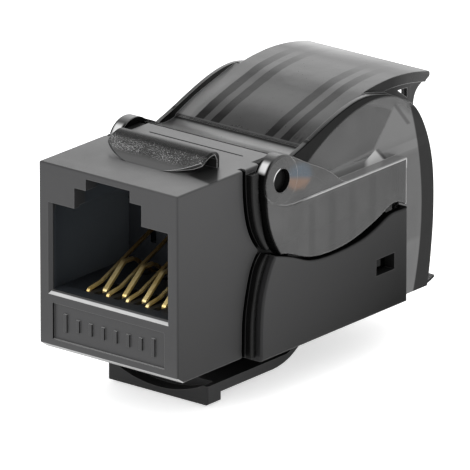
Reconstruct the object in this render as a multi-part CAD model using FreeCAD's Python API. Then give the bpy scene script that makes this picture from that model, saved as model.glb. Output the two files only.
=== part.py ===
import FreeCAD, Part
import math
import os

# Tool-free RJ45 keystone jack with a hinged wire cap.
# Frame: millimetres, origin at the centre of the front face, X to the right
# seen from the back of the room, +Y from the plug face to the cable end, +Z up
# (the side of the plug's latch). The cap is modelled closed.

os.makedirs("parts", exist_ok=True)
V = FreeCAD.Vector

# ---------------------------------------------------------------- dimensions
# front housing: the block that sits in the panel opening
BOX_HW = 7.15            # half width
BOX_HH = 7.77            # half height
BOX_LEN = 10.40          # length of the full-width block
BOX_BOTTOM = -8.12       # underside of the block
CHIN_Z, CHIN_D = -7.59, 0.79   # bevel under the front face: its top edge, its depth
EDGE_R = 0.16            # moulded edge radius

# plug port
PORT_HW = 5.95           # half width inside
PORT_FLOOR = -2.93
PORT_TOP = 4.50
STEP_HW, STEP_TOP = 3.47, 6.25
NOTCH_HW, NOTCH_TOP = 2.28, 7.24
BEZEL = 0.65             # thickness of the face round the port
LEAD_X, LEAD_Z = 0.27, 0.36   # lead-in chamfer round the port's mouth

# recessed panel below the port
PANEL_HW, PANEL_Z0, PANEL_Z1, PANEL_D = 5.79, -7.05, -3.96, 0.22

# hinge
HINGE_Y, HINGE_Z = 11.94, 6.19
EYE_R = 2.14             # outside of the cap's eyes
PIN_R = 0.95             # trunnions on the rear housing
HOLE_R = 1.00            # holes in the cap's eyes
KNUCKLE_R = 1.78         # rounded rear edge of the top plate
KNUCKLE_GAP = 0.12       # between that edge and the cap's front edge

# top catch
CATCH_X0, CATCH_X1 = -4.62, 5.12
CATCH_T = 0.26

# rear housing
BODY_HW = 8.25
BODY_REAR = 28.20
BODY_BOTTOM = -8.49
WALL = 1.00

# bottom latch arm
ARM_HW = 5.17
ARM_TOP, ARM_BOTTOM = -10.43, -11.33
ARM_FRONT, ARM_PLATE_REAR, ARM_PLATE_BOTTOM = 6.20, 8.00, -12.03

# cap
LIP_HW = 6.30            # half width of the thumb lip
RIM_IN = 6.70            # the side walls stand up beside the roof outside this
ROOF_T = 0.90
SKIRT_T = 1.20
UP_OUT, UP_IN = 7.10, 6.35    # upper side walls
LOW_OUT, LOW_IN = 8.25, 7.27  # lower side walls
LEDGE_Z, LEDGE_T = 3.87, 0.85
RIB_X = (2.80, 4.40)
RIB_W, RIB_D = 0.90, 1.00

# electrical
PITCH = 1.02             # contact pitch of the plug
BOARD_Z0, BOARD_Z1 = -5.60, -4.60
IDC_Y = (16.00, 18.70, 21.40, 24.10)
BLADE_X0, BLADE_X1 = 5.20, 5.60


# ------------------------------------------------------------------- helpers
def box(x0, x1, y0, y1, z0, z1):
    return Part.makeBox(x1 - x0, y1 - y0, z1 - z0, V(x0, y0, z0))


def prism(pts, x0, x1):
    """Closed polygon in the YZ plane, extruded along X."""
    p = [V(x0, y, z) for y, z in pts]
    p.append(p[0])
    return Part.Face(Part.makePolygon(p)).extrude(V(x1 - x0, 0, 0))


def curve(pts, x):
    c = Part.BSplineCurve()
    c.interpolate(Points=[V(x, y, z) for y, z in pts])
    return c


def profile(segs, x0, x1):
    """Closed outline in the YZ plane, extruded along X. Each segment is
    ("s", points) for a smooth curve or ("l", points) for straight runs, and
    starts where the one before it ends."""
    edges = []
    for kind, pts in segs:
        if kind == "s":
            edges.append(curve(pts, x0).toShape())
        else:
            for a, b in zip(pts, pts[1:]):
                edges.append(Part.makeLine(V(x0, *a), V(x0, *b)))
    return Part.Face(Part.Wire(edges)).extrude(V(x1 - x0, 0, 0))


def offset(pts, d, n=14):
    """Points at distance d to the left of the smooth curve through pts."""
    c = curve(pts, 0.0)
    a, b = c.FirstParameter, c.LastParameter
    out = []
    for i in range(n + 1):
        t = a + (b - a) * i / n
        p, g = c.value(t), c.tangent(t)[0]
        out.append((p.y - g.z * d, p.z + g.y * d))
    return out


def cyl_x(x0, x1, y, z, r):
    return Part.makeCylinder(r, x1 - x0, V(x0, y, z), V(1, 0, 0))


def mirrored(s):
    return s.mirror(V(0, 0, 0), V(1, 0, 0))


def both(s):
    return [s, mirrored(s)]


def fuse(shapes):
    s = shapes[0]
    if len(shapes) > 1:
        s = s.fuse(shapes[1:])
    return s.removeSplitter()


def cut(s, tools):
    return s.cut(tools).removeSplitter() if tools else s


def rounded(s, r, pick):
    """Fillets the edges that pick accepts; leaves the solid as it is if the
    fillet can't be made."""
    es = [e for e in s.Edges if pick(e)]
    if not es:
        return s
    try:
        f = s.makeFillet(r, es)
        if f.isValid() and f.Volume > 0:
            return f
    except Exception:
        pass
    print("  fillet skipped", r, len(es))
    return s


def flat_x(e, x, tol=1e-4):
    """True if edge e lies in the plane X = x."""
    b = e.BoundBox
    return abs(b.XMin - x) < tol and abs(b.XMax - x) < tol


NODES = []


def save(node, shape):
    solids = shape.Solids
    s = solids[0] if len(solids) == 1 else Part.makeCompound(solids)
    if len(solids) != 1:
        print("  !!", node, "has", len(solids), "solids",
              [round(q.Volume, 3) for q in solids])
    if not s.isValid():
        print("  !!", node, "is not valid")
    s.exportStep("parts/%s.step" % node)
    NODES.append((node, s))
    b = s.BoundBox
    print("%-22s vol %8.2f  x %.2f..%.2f y %.2f..%.2f z %.2f..%.2f" % (
        node, s.Volume, b.XMin, b.XMax, b.YMin, b.YMax, b.ZMin, b.ZMax))


# -------------------------------------------------------------- side outlines
# All are (y, z) at the sides of the jack.
# where the front block's side ends, above and below the waist
C1_UP = [(8.20, 7.77), (8.22, 6.2), (8.36, 4.57), (8.90, 2.47), (9.55, 1.30), (10.20, 0.55)]
C1_LOW = [(10.20, 0.55), (9.40, -0.43), (8.65, -2.43), (8.22, -4.53), (8.12, -6.2), (8.10, BOX_BOTTOM)]
# front edge of the bands behind the grooves
BAND_UP = [(8.65, 7.35), (8.67, 6.2), (8.81, 4.57), (9.35, 2.47), (10.00, 1.30), (10.52, 0.60)]
BAND_LOW = [(10.55, 0.25), (9.85, -0.43), (9.10, -2.43), (8.67, -4.53), (8.57, -6.2), (8.55, BOX_BOTTOM)]
# front edge of the rear housing's side
C2_LOW = [(11.10, 0.05), (10.20, -1.53), (9.55, -3.53), (9.33, -5.73), (9.30, -7.2), (9.30, BODY_BOTTOM)]
# front edge of the cap's lower side wall, from the eye down
EAR_FRONT = [(9.93, 5.45), (10.00, 4.32), (10.32, 2.71), (11.10, 0.97), (11.80, -0.03)]
# lower edge of the cap's side wall
CAP_LOW = [(11.80, -0.03), (12.7, -0.22), (13.6, -0.55), (15.0, -1.10), (16.5, -1.43), (18.2, -1.54),
           (19.6, -1.49), (20.9, -1.33), (22.4, -0.98), (23.8, -0.55), (25.0, -0.08), (25.9, 0.30),
           (26.7, 0.40), (27.5, 0.17), (28.10, -0.16)]
# top edge of the rear housing's side wall
BODY_TOP = [(BODY_REAR, -0.34), (27.2, -0.34), (26.1, -0.36), (25.0, -0.72), (23.6, -1.22), (22.2, -1.55),
            (20.8, -1.70), (19.3, -1.77), (17.6, -1.75), (16.2, -1.62), (15.0, -1.32), (13.7, -0.78),
            (12.6, -0.38), (11.10, 0.05)]


# ------------------------------------------------------------- front housing
def front_housing():
    body = prism([(0, BOX_HH), (0, CHIN_Z), (CHIN_D, BOX_BOTTOM), (BOX_LEN, BOX_BOTTOM), (BOX_LEN, BOX_HH)],
                 -BOX_HW, BOX_HW)
    body = rounded(body, EDGE_R, lambda e: e.BoundBox.YMax < CHIN_D + 0.01 and e.BoundBox.YMin < 0.01
                   or (e.BoundBox.YLength > 5 and e.BoundBox.XLength < 1e-6))
    # top plate running back to the hinge, with a rounded rear edge
    plate = box(-6.30, 6.30, BOX_LEN - 0.3, HINGE_Y, BOX_HH - 0.95, BOX_HH)
    knuckle = cyl_x(-6.30, 6.30, HINGE_Y, HINGE_Z, KNUCKLE_R)
    knuckle = knuckle.common(box(-7, 7, HINGE_Y - 0.4, 14, HINGE_Z + 0.15, BOX_HH))
    knuckle = knuckle.cut(cyl_x(-7, 7, HINGE_Y, HINGE_Z, 0.80))

    # raised side bands behind the grooves, one above and one below the waist
    band_up = profile([
        ("s", BAND_UP),
        ("l", [BAND_UP[-1], (10.98, 0.62)]),
        ("s", [(10.98, 0.62), (10.12, 2.62), (9.84, 4.25), (9.66, 5.2), (9.62, 6.2), (9.66, 7.35)]),
        ("l", [(9.66, 7.35), BAND_UP[0]])], BOX_HW - 0.18, 7.75)
    band_low = profile([
        ("s", BAND_LOW),
        ("l", [BAND_LOW[-1], (9.22, BOX_BOTTOM)]),
        ("s", [(9.22, BOX_BOTTOM), (9.24, -5.73), (9.45, -3.55), (10.08, -1.58), (10.92, 0.0)]),
        ("l", [(10.92, 0.0), BAND_LOW[0]])], BOX_HW - 0.18, 7.75)
    bands = []
    for b in (band_up, band_low):
        b = rounded(b, 0.12, lambda e: flat_x(e, 7.75) and e.BoundBox.ZLength > 3)
        bands += both(b)

    # top catch: a curled tongue whose front edge is an arc in plan
    out = [(4.0, BOX_HH - 0.06), (4.6, 8.02), (5.1, 8.36), (5.7, 8.76), (6.3, 9.08), (6.8, 9.22), (7.3, 9.20), (7.70, 8.98), (7.86, 8.60)]
    catch = profile([("s", out), ("l", [out[-1], (7.86, 7.5), (4.0, 7.5), out[0]])], CATCH_X0, CATCH_X1)
    catch = rounded(catch, 0.12, lambda e: (flat_x(e, CATCH_X0) or flat_x(e, CATCH_X1)) and
                    ((e.BoundBox.YLength > 3 and e.BoundBox.ZMax > 8) or e.BoundBox.YMin > 7.8))
    catch_r = 8.10
    catch = catch.common(Part.makeCylinder(catch_r, 4, V((CATCH_X0 + CATCH_X1) / 2, 4.0 + catch_r, 7), V(0, 0, 1)))
    hollow_top = offset(out[2:7], -CATCH_T, 8)
    hollow_pts = [("s", hollow_top), ("l", [hollow_top[-1], (7.50, 8.5), (7.50, BOX_HH), (4.2, BOX_HH), hollow_top[0]])]
    hollows = [profile(hollow_pts, 2.1, 5.4), profile(hollow_pts, -5.4, -1.7)]

    s = fuse([body, plate, knuckle, catch] + bands)

    tools = []
    # plug port: mouth, shoulders and latch notch
    tools.append(box(-PORT_HW, PORT_HW, -1, BOX_LEN + 5, PORT_FLOOR, PORT_TOP))
    tools.append(box(-STEP_HW, STEP_HW, -1, BOX_LEN - 0.6, PORT_TOP - 1, STEP_TOP))
    tools.append(box(-NOTCH_HW, NOTCH_HW, -1, 8.6, STEP_TOP - 1, NOTCH_TOP))
    # wider behind the face
    tools.append(box(-PORT_HW - 0.22, PORT_HW + 0.22, BEZEL, BOX_LEN + 5, PORT_FLOOR, PORT_TOP + 0.15))
    # lead-in round the mouth
    def lead(hw, z0, z1, dx, dz, depth):
        a = Part.makePolygon([V(-hw - dx, -0.001, z0 - dz), V(hw + dx, -0.001, z0 - dz), V(hw + dx, -0.001, z1), V(-hw - dx, -0.001, z1), V(-hw - dx, -0.001, z0 - dz)])
        b = Part.makePolygon([V(-hw, depth, z0), V(hw, depth, z0), V(hw, depth, z1), V(-hw, depth, z1), V(-hw, depth, z0)])
        return Part.makeLoft([a, b], True, True)
    tools.append(lead(PORT_HW, PORT_FLOOR, PORT_TOP - 0.001, LEAD_X, LEAD_Z, 0.28))
    # seat of the contact carrier and the hollow below it
    tools.append(box(-PORT_HW - 0.22, PORT_HW + 0.22, 1.55, BOX_LEN + 5, -4.28, PORT_FLOOR + 0.5))
    tools.append(box(-5.2, 5.2, 1.4, BOX_LEN + 5, -6.75, -4.0))
    # recessed panel
    tools.append(box(-PANEL_HW, PANEL_HW, -1, PANEL_D, PANEL_Z0, PANEL_Z1))
    # grooves between the block's side and the bands
    g_up = profile([
        ("s", C1_UP),
        ("l", [C1_UP[-1], (10.60, 0.60), BAND_UP[-1]]),
        ("s", list(reversed(BAND_UP))),
        ("l", [BAND_UP[0], (BAND_UP[0][0], 7.77), C1_UP[0]])], 6.62, 7.90)
    g_low = profile([
        ("s", C1_LOW),
        ("l", [C1_LOW[-1], BAND_LOW[-1]]),
        ("s", list(reversed(BAND_LOW))),
        ("l", [BAND_LOW[0], (10.60, 0.55), C1_LOW[0]])], 6.62, 7.90)
    tools += both(g_up) + both(g_low) + both(box(6.62, 7.20, 10.10, 10.60, 0.40, 0.66))
    # clearance round the cap's eyes and ears
    tools += both(cyl_x(6.88, 9, HINGE_Y, HINGE_Z, EYE_R + 0.14))
    # slit across the top plate
    tools.append(box(-4.85, 4.85, 11.02, 11.20, BOX_HH - 0.35, BOX_HH + 1))
    tools += hollows
    s = cut(s, tools)

    # plain pin-position ticks in the recessed panel
    ticks = []
    for i in range(8):
        x = (i - 3.5) * 1.30
        h = 1.55 if i in (0, 7) else 1.05
        t = box(x - 0.17, x + 0.17, PANEL_D - 0.16, PANEL_D + 0.2, -5.50 - h / 2, -5.50 + h / 2)
        ticks.append(rounded(t, 0.05, lambda e: e.BoundBox.YMax < PANEL_D - 0.15))
    s = fuse([s] + ticks)
    return s


# -------------------------------------------------------------- rear housing
def rear_housing():
    outline = profile([
        ("s", C2_LOW),
        ("l", [C2_LOW[-1], (BODY_REAR, BODY_BOTTOM), BODY_TOP[0]]),
        ("s", BODY_TOP)], -BODY_HW, BODY_HW)
    outline = rounded(outline, 0.18, lambda e: (flat_x(e, BODY_HW) or flat_x(e, -BODY_HW)))
    inner = box(-BODY_HW + WALL, BODY_HW - WALL, 5, 35, BODY_BOTTOM + WALL, 5)
    s = outline.cut(inner)
    # room for the front block, and for the cable behind the wire block
    s = s.cut(box(-7.22, 7.22, 5, BOX_LEN + 0.08, BOX_BOTTOM - 0.05, 9))
    parts = [s]
    # low rear wall, open in the middle for the cable
    parts += both(box(3.50, BODY_HW - WALL + 0.1, 27.20, BODY_REAR, BODY_BOTTOM + 0.4, -3.60))
    # cheeks with the trunnions
    cheek = prism([(BOX_LEN + 0.08, BODY_BOTTOM + 0.4), (13.70, BODY_BOTTOM + 0.4), (13.70, 3.2), (13.70, HINGE_Z - 1.2),
                   (13.45, HINGE_Z + 0.6), (12.95, HINGE_Z + 1.25), (12.45, BOX_HH), (BOX_LEN + 0.08, BOX_HH)], 6.36, 6.90)
    root = box(6.80, BODY_HW - WALL + 0.1, 10.9, 13.7, BODY_BOTTOM + 0.4, -1.60)
    pin = cyl_x(6.80, 7.78, HINGE_Y, HINGE_Z, PIN_R)
    pin = rounded(pin, 0.12, lambda e: flat_x(e, 7.78))
    parts += both(cheek) + both(root) + both(pin)
    # ledges that carry the circuit board
    parts += both(box(5.60, BODY_HW - WALL + 0.1, 13.5, 26.6, BODY_BOTTOM + 0.4, BOARD_Z0 - 0.02))
    # latch arm under the body: root, arm and end plate
    arm = profile([
        ("s", [(21.2, BODY_BOTTOM + 0.3), (20.4, -8.85), (19.2, -9.55), (18.0, -10.25), (16.9, -10.86), (15.8, -11.20), (14.6, ARM_BOTTOM)]),
        ("l", [(14.6, ARM_BOTTOM), (ARM_PLATE_REAR, ARM_BOTTOM), (ARM_PLATE_REAR, ARM_PLATE_BOTTOM),
               (ARM_FRONT, ARM_PLATE_BOTTOM), (ARM_FRONT, ARM_TOP), (16.0, ARM_TOP)]),
        ("s", [(16.0, ARM_TOP), (16.9, -10.20), (17.45, -9.55), (17.7, -8.7), (17.75, BODY_BOTTOM + 0.3)]),
        ("l", [(17.75, BODY_BOTTOM + 0.3), (21.2, BODY_BOTTOM + 0.3)])], -ARM_HW, ARM_HW)
    arm = rounded(arm, 0.15, lambda e: (flat_x(e, ARM_HW) or flat_x(e, -ARM_HW)) and
                  (e.BoundBox.YMax < 14.7 or (e.BoundBox.ZMin < -11 and e.BoundBox.YMax > 20)))
    # scooped top edge of the end plate
    scoop_r = (4.70 ** 2 + 1.10 ** 2) / (2 * 1.10)
    scoop = Part.makeCylinder(scoop_r, 1.4, V(0, ARM_FRONT - 0.1, ARM_TOP - 1.10 + scoop_r), V(0, 1, 0))
    arm = arm.cut(scoop)
    parts.append(arm)
    s = fuse(parts)
    # windows for the cap's snaps, with the lead-in grooves inside the wall
    tools = [box(-3.50, 3.50, 25.90, 29, -9, -7)]                # notch for the cable in the floor's edge
    tools += both(box(6.9, 9, 24.10, 26.50, -5.23, -3.83))
    ring = cyl_x(7.0, 7.76, HINGE_Y, HINGE_Z, 17.50).cut(cyl_x(6.9, 7.9, HINGE_Y, HINGE_Z, 15.55))
    sector = prism([(23.95, -3.70), (23.95, -5.05), (25.9, -5.05), (30, -1.5), (30, 3), (24.6, 3)], 6.9, 7.9)
    tools += both(ring.common(sector))
    s = cut(s, tools)
    return s


# -------------------------------------------------------------------- the cap
STRIP = [(13.00, 7.74), (13.6, 7.47), (14.4, 7.21), (15.3, 7.07), (16.1, 7.11), (16.75, 7.28)]
ARCH = [(16.75, 7.42), (17.6, 7.78), (18.9, 8.28), (21.5, 9.05), (23.6, 9.62), (25.0, 9.95), (26.8, 10.15),
        (28.3, 10.21), (29.9, 10.13), (31.3, 9.96), (32.4, 9.75), (33.15, 9.58)]
# outline of the side walls and the curved rear skirt
SHELL = [(14.10, 6.95), (14.7, 7.32), (15.6, 7.63), (17.3, 8.22), (19.9, 9.13), (22.1, 9.70), (23.6, 9.88),
         (24.9, 9.82), (26.0, 9.59), (27.3, 9.24), (28.8, 8.57), (30.4, 7.60), (31.5, 6.25), (32.2, 4.85),
         (32.75, 3.20), (33.05, 1.60), (33.17, 0.0), (33.17, -2.0), (33.06, -3.92), (32.88, -5.53),
         (32.64, -7.26), (32.38, -8.50)]
LUG_TOP = [(12.10, 8.12), (12.90, 8.02), (13.75, 7.66), (14.75, 7.10), (16.2, 6.36), (17.6, 5.66),
           (18.8, 4.86), (19.7, 4.18), (20.5, LEDGE_Z)]


def hinged_cap():
    R = KNUCKLE_R + KNUCKLE_GAP
    # roof: dished front strip, then the arch back to the thumb lip
    a_in = offset(ARCH, -ROOF_T, 16)

    def roof_plate(hw):
        return profile([
            ("s", STRIP),
            ("l", [STRIP[-1], ARCH[0]]),
            ("s", ARCH),
            ("s", [ARCH[-1], (33.47, 9.38), (33.47, 9.12), (33.17, 8.94), a_in[-1]]),
            ("s", list(reversed(a_in[2:])) + [(18.6, 7.15), (17.4, 6.65)]),
            ("l", [(17.4, 6.65), (16.0, 6.22), (14.55, 6.15), (13.85, 6.35), STRIP[0]])], -hw, hw)

    lip = rounded(roof_plate(LIP_HW), 0.12, lambda e: (flat_x(e, LIP_HW) or flat_x(e, -LIP_HW)) and e.BoundBox.YMin > 32.3 and
                  e.BoundBox.ZLength > 0.3)
    front = roof_plate(UP_OUT).common(box(-9, 9, 10, 16.30, 0, 12))
    sides = both(roof_plate(RIM_IN + 0.05).common(box(LIP_HW - 0.05, 9, 16.0, 24.40, 0, 12)))
    # side walls with the raised rims, and the skirt behind: one shell, open below
    shell = profile([
        ("s", SHELL),
        ("l", [SHELL[-1], (28.50, SHELL[-1][1]), (28.50, LEDGE_Z - LEDGE_T), (14.10, LEDGE_Z - LEDGE_T), SHELL[0]])], -UP_OUT, UP_OUT)
    shell = rounded(shell, 0.14, lambda e: (flat_x(e, UP_OUT) or flat_x(e, -UP_OUT)) and e.BoundBox.ZLength > 10 and e.BoundBox.YMin < 15)
    s_in = [p for p in offset(SHELL, -SKIRT_T, 40) if p[0] > 25.6]
    hollow = profile([
        ("l", [(s_in[-1][0], s_in[-1][1]), (s_in[-1][0], -9.6), (12.5, -9.6), (12.5, 6.20), (14.6, 6.25), (15.8, 6.45), (16.8, 6.80),
               (18.9, 7.75), (21.5, 8.45), (23.6, 8.72), s_in[0]]),
        ("s", s_in)], -UP_IN, UP_IN)
    recess = prism([(13.0, 7.25), (14.4, 6.93), (15.3, 6.80), (16.3, 6.86), (17.0, 7.20), (18.9, 7.98), (21.5, 8.78), (23.6, 9.32),
                    (24.6, 9.55), (24.6, 12), (13.0, 12)], -RIM_IN, RIM_IN)
    shell = shell.cut([hollow, recess])
    parts = []
    for p in [lip, front, shell] + sides:
        parts.append(p.cut(cyl_x(-9, 9, HINGE_Y, HINGE_Z, R)))
    # thin rim at the skirt's foot, open in the middle for the cable
    rim = [(29.90, -8.05), (30.40, -8.33), (31.3, -8.42), (32.3, -8.32), (33.26, -7.98)]
    rim_in = offset(rim, 0.24, 8)
    foot = profile([("s", rim), ("l", [rim[-1], rim_in[-1]]), ("s", list(reversed(rim_in))), ("l", [rim_in[0], rim[0]])], -UP_OUT, UP_OUT)
    foot = foot.cut(box(-5.55, 5.55, 29, 31.60, -10, -7))
    parts.append(foot)

    # ledge over the wire block
    ledge = box(UP_IN, LOW_OUT - 0.02, 14.6, 28.10, LEDGE_Z - LEDGE_T, LEDGE_Z)
    # lower side wall with the ear's front edge
    wall = profile([
        ("s", EAR_FRONT),
        ("s", CAP_LOW),
        ("l", [CAP_LOW[-1], (28.10, LEDGE_Z), (14.2, LEDGE_Z)]),
        ("s", [(14.2, LEDGE_Z), (12.6, 3.98), (11.2, 4.45), (9.93, 5.45)])], LOW_IN, LOW_OUT)
    wall = rounded(wall, 0.16, lambda e: flat_x(e, LOW_OUT))
    # lug that carries the eye, sloping back down to the ledge
    lug = profile([
        ("s", LUG_TOP),
        ("l", [LUG_TOP[-1], (20.5, LEDGE_Z - 0.6), (10.6, LEDGE_Z - 0.6), (10.6, HINGE_Z), (12.10, HINGE_Z), LUG_TOP[0]])], LOW_IN, 8.12)
    eye = cyl_x(7.02, 8.20, HINGE_Y, HINGE_Z, EYE_R)
    eye = rounded(eye, 0.20, lambda e: flat_x(e, 8.20))
    lug = lug.fuse(eye)
    lug_in = offset(LUG_TOP, -0.75, 12)
    slope = [p for p in lug_in if p[0] > 14.3 and p[1] > LEDGE_Z - 0.7]
    ramp = profile([
        ("s", LUG_TOP),
        ("l", [LUG_TOP[-1], (20.5, LEDGE_Z - 0.5), (19.9, LEDGE_Z - 0.5)]),
        ("s", [(19.9, LEDGE_Z - 0.5)] + list(reversed(slope[:-1]))),
        ("l", [slope[0], LUG_TOP[0]])], UP_IN, 8.12)
    ramp = ramp.cut(cyl_x(0, 9, HINGE_Y, HINGE_Z, EYE_R + 0.08))
    # end wall that closes the lower pocket
    end = prism([(27.30, LEDGE_Z - 0.2), (27.30, 0.55), (27.60, 0.20), (28.08, -0.1), (28.08, LEDGE_Z - 0.2)], UP_IN, LOW_IN + 0.3)
    # snap: a tab hanging inside the body wall, with a catch at its foot
    tab = prism([(24.15, 3.4), (25.55, 3.4), (25.45, -4.9), (24.25, -4.9)], 6.48, 7.12)
    catch = prism([(24.20, -3.95), (25.40, -3.95), (25.40, -4.80), (24.30, -4.80)], 7.0, 7.66)
    # web under each side of the thumb lip, with a three-sided window
    web = profile([
        ("s", [(26.6, 9.60), (28.5, 9.70), (30.2, 9.60), (31.8, 9.38), (33.12, 9.12)]),
        ("s", [(33.12, 9.12), (32.75, 8.87), (32.15, 8.56), (31.75, 8.20), (31.52, 7.75), (31.40, 7.1)]),
        ("l", [(31.40, 7.1), (31.10, 6.2), (29.9, 7.3), (28.4, 8.1), (26.6, 8.9), (26.6, 9.60)])], 5.62, 6.24)
    web = web.cut(prism([(29.35, 8.87), (30.60, 8.80), (30.60, 7.95)], 5, 7))

    for p in (ledge, wall, lug, ramp, end, tab, catch, web):
        parts += both(p)

    # ribs under the roof that press the wires home
    roof_in = offset(ARCH, -ROOF_T + 0.2, 12)
    deep = offset(ARCH, -ROOF_T - RIB_D, 12)
    a = [p for p in roof_in if 17.6 < p[0] < 27.2]
    b = [p for p in deep if 17.6 < p[0] < 27.0]
    for rx in RIB_X:
        rib = profile([("s", a), ("l", [a[-1], b[-1]]), ("s", list(reversed(b))), ("l", [b[0], a[0]])], rx - RIB_W / 2, rx + RIB_W / 2)
        parts += both(rib)

    s = fuse(parts)
    s = cut(s, both(cyl_x(6.9, 9, HINGE_Y, HINGE_Z, HOLE_R)))
    return s


# ----------------------------------------------------------- electrical parts
def contact_x(i):
    return (i - 3.5) * PITCH


def strip_wire(path, t, x0, x1):
    """Flat spring wire: a path of points thickened by t, extruded along X."""
    left, right = [], []
    n = len(path)
    for k in range(n):
        if k == 0:
            d1 = d2 = (path[1][0] - path[0][0], path[1][1] - path[0][1])
        elif k == n - 1:
            d1 = d2 = (path[k][0] - path[k - 1][0], path[k][1] - path[k - 1][1])
        else:
            d1 = (path[k][0] - path[k - 1][0], path[k][1] - path[k - 1][1])
            d2 = (path[k + 1][0] - path[k][0], path[k + 1][1] - path[k][1])
        l1, l2 = math.hypot(*d1), math.hypot(*d2)
        n1 = (-d1[1] / l1, d1[0] / l1)
        n2 = (-d2[1] / l2, d2[0] / l2)
        m = (n1[0] + n2[0], n1[1] + n2[1])
        ml = math.hypot(*m)
        m = (m[0] / ml, m[1] / ml)
        h = (t / 2) / max(0.5, m[0] * n1[0] + m[1] * n1[1])
        left.append((path[k][0] + m[0] * h, path[k][1] + m[1] * h))
        right.append((path[k][0] - m[0] * h, path[k][1] - m[1] * h))
    return prism(left + list(reversed(right)), x0, x1)


def bend(p0, p1, p2, r, n=5):
    """Points of an arc of radius r that rounds the corner p1."""
    a = (p0[0] - p1[0], p0[1] - p1[1])
    b = (p2[0] - p1[0], p2[1] - p1[1])
    la, lb = math.hypot(*a), math.hypot(*b)
    a, b = (a[0] / la, a[1] / la), (b[0] / lb, b[1] / lb)
    ang = math.acos(max(-1, min(1, a[0] * b[0] + a[1] * b[1])))
    d = r / math.tan(ang / 2)
    s, e = (p1[0] + a[0] * d, p1[1] + a[1] * d), (p1[0] + b[0] * d, p1[1] + b[1] * d)
    mx, my = a[0] + b[0], a[1] + b[1]
    ml = math.hypot(mx, my)
    c = (p1[0] + mx / ml * r / math.sin(ang / 2), p1[1] + my / ml * r / math.sin(ang / 2))
    a0, a1 = math.atan2(s[1] - c[1], s[0] - c[0]), math.atan2(e[1] - c[1], e[0] - c[0])
    da = (a1 - a0 + math.pi) % (2 * math.pi) - math.pi
    return [(c[0] + r * math.cos(a0 + da * k / n), c[1] + r * math.sin(a0 + da * k / n)) for k in range(n + 1)]


def route(pts, radii):
    out = [pts[0]]
    for k in range(1, len(pts) - 1):
        out += bend(pts[k - 1], pts[k], pts[k + 1], radii[k - 1])
    out.append(pts[-1])
    return out


def contact(i):
    x = contact_x(i)
    if i % 2 == 0:      # long shallow spring
        w, t = 0.28, 0.20
        pts = [(12.0, -6.30), (12.0, -3.76), (1.78, -3.76), (1.86, -2.86), (3.45, -2.62), (10.45, 0.33)]
        path = route(pts, [0.35, 0.36, 0.30, 0.8])
    else:               # steep spring
        w, t = 0.40, 0.24
        pts = [(11.2, -6.30), (11.2, -3.76), (2.72, -3.76), (2.74, -2.98), (5.05, -1.16), (6.35, -1.18), (8.90, -3.08)]
        path = route(pts, [0.35, 0.32, 0.22, 0.45, 0.7])
    return strip_wire(path, t, x - w / 2, x + w / 2)


def contact_carrier():
    s = box(-6.12, 6.12, 1.60, 12.60, -4.24, PORT_FLOOR - 0.02)
    s = fuse([s, box(-6.12, 6.12, 10.05, 12.60, -4.24, 4.15)])
    tools = []
    for i in range(8):
        x = contact_x(i)
        tools.append(box(x - 0.27, x + 0.27, 1.0, 4.6, -5, -2))
        tools.append(box(x - 0.27, x + 0.27, 4.0, 10.9, -5, -3.52))
        tools.append(box(x - 0.27, x + 0.27, 10.0, 12.4, -5, -3.30))
        if i % 2 == 0:
            tools.append(box(x - 0.27, x + 0.27, 9.5, 10.85, -1.1, 1.5))
        else:
            tools.append(box(x - 0.27, x + 0.27, 7.60, 9.50, -3.34, -2))
    return cut(s, tools)


def circuit_board():
    s = box(-6.20, 6.20, 10.75, 26.50, BOARD_Z0, BOARD_Z1)
    tools = [box(-3.5, 3.5, 25.7, 30, -7, 0)]
    for i in range(8):
        y = 12.0 if i % 2 == 0 else 11.2
        tools.append(Part.makeCylinder(0.31, 3, V(contact_x(i), y, -7), V(0, 0, 1)))
    for y in IDC_Y:
        tools += both(box(BLADE_X0 - 0.06, BLADE_X1 + 0.06, y - 0.41, y + 0.41, -7, 0))
    return cut(s, tools)


def terminal_block():
    base = box(-7.0, 7.0, 14.20, 26.90, BOARD_Z1 + 0.02, -1.90)
    parts = [base]
    parts += both(box(3.60, 7.0, 14.20, 25.60, -2.4, 2.60))
    s = fuse(parts)
    tools = []
    tools += both(box(6.34, 8, 23.75, 30, -5, 4))          # room for the cap's snap tabs
    tools.append(box(-3.55, 3.55, 25.70, 30, -7, 4))       # cable channel
    for y in IDC_Y:
        tools += both(box(3.0, 8, y - 0.42, y + 0.42, -0.75, 4))
        tools += both(prism([(y - 0.42, 1.9), (y - 0.72, 2.7), (y + 0.72, 2.7), (y + 0.42, 1.9)], 3.0, 8))
        tools += both(box(BLADE_X0 - 0.05, BLADE_X1 + 0.05, y - 0.98, y + 0.98, -6, 4))
    s = cut(s, tools)
    return s


def idc_terminal(side, y):
    blade = prism([(y - 0.90, -1.1), (y + 0.90, -1.1), (y + 0.90, 2.25), (y + 0.52, 2.25), (y + 0.13, 1.55), (y + 0.13, 0.0),
                   (y - 0.13, 0.0), (y - 0.13, 1.55), (y - 0.52, 2.25), (y - 0.90, 2.25)], BLADE_X0, BLADE_X1)
    stem = box(BLADE_X0, BLADE_X1, y - 0.34, y + 0.34, -6.20, -1.0)
    s = fuse([blade, stem])
    return s if side > 0 else mirrored(s)


def wiring_label(side):
    s = box(UP_IN - 0.08, UP_IN - 0.002, 15.60, 18.40, 3.90, 5.60)
    return s if side > 0 else mirrored(s)


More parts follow.
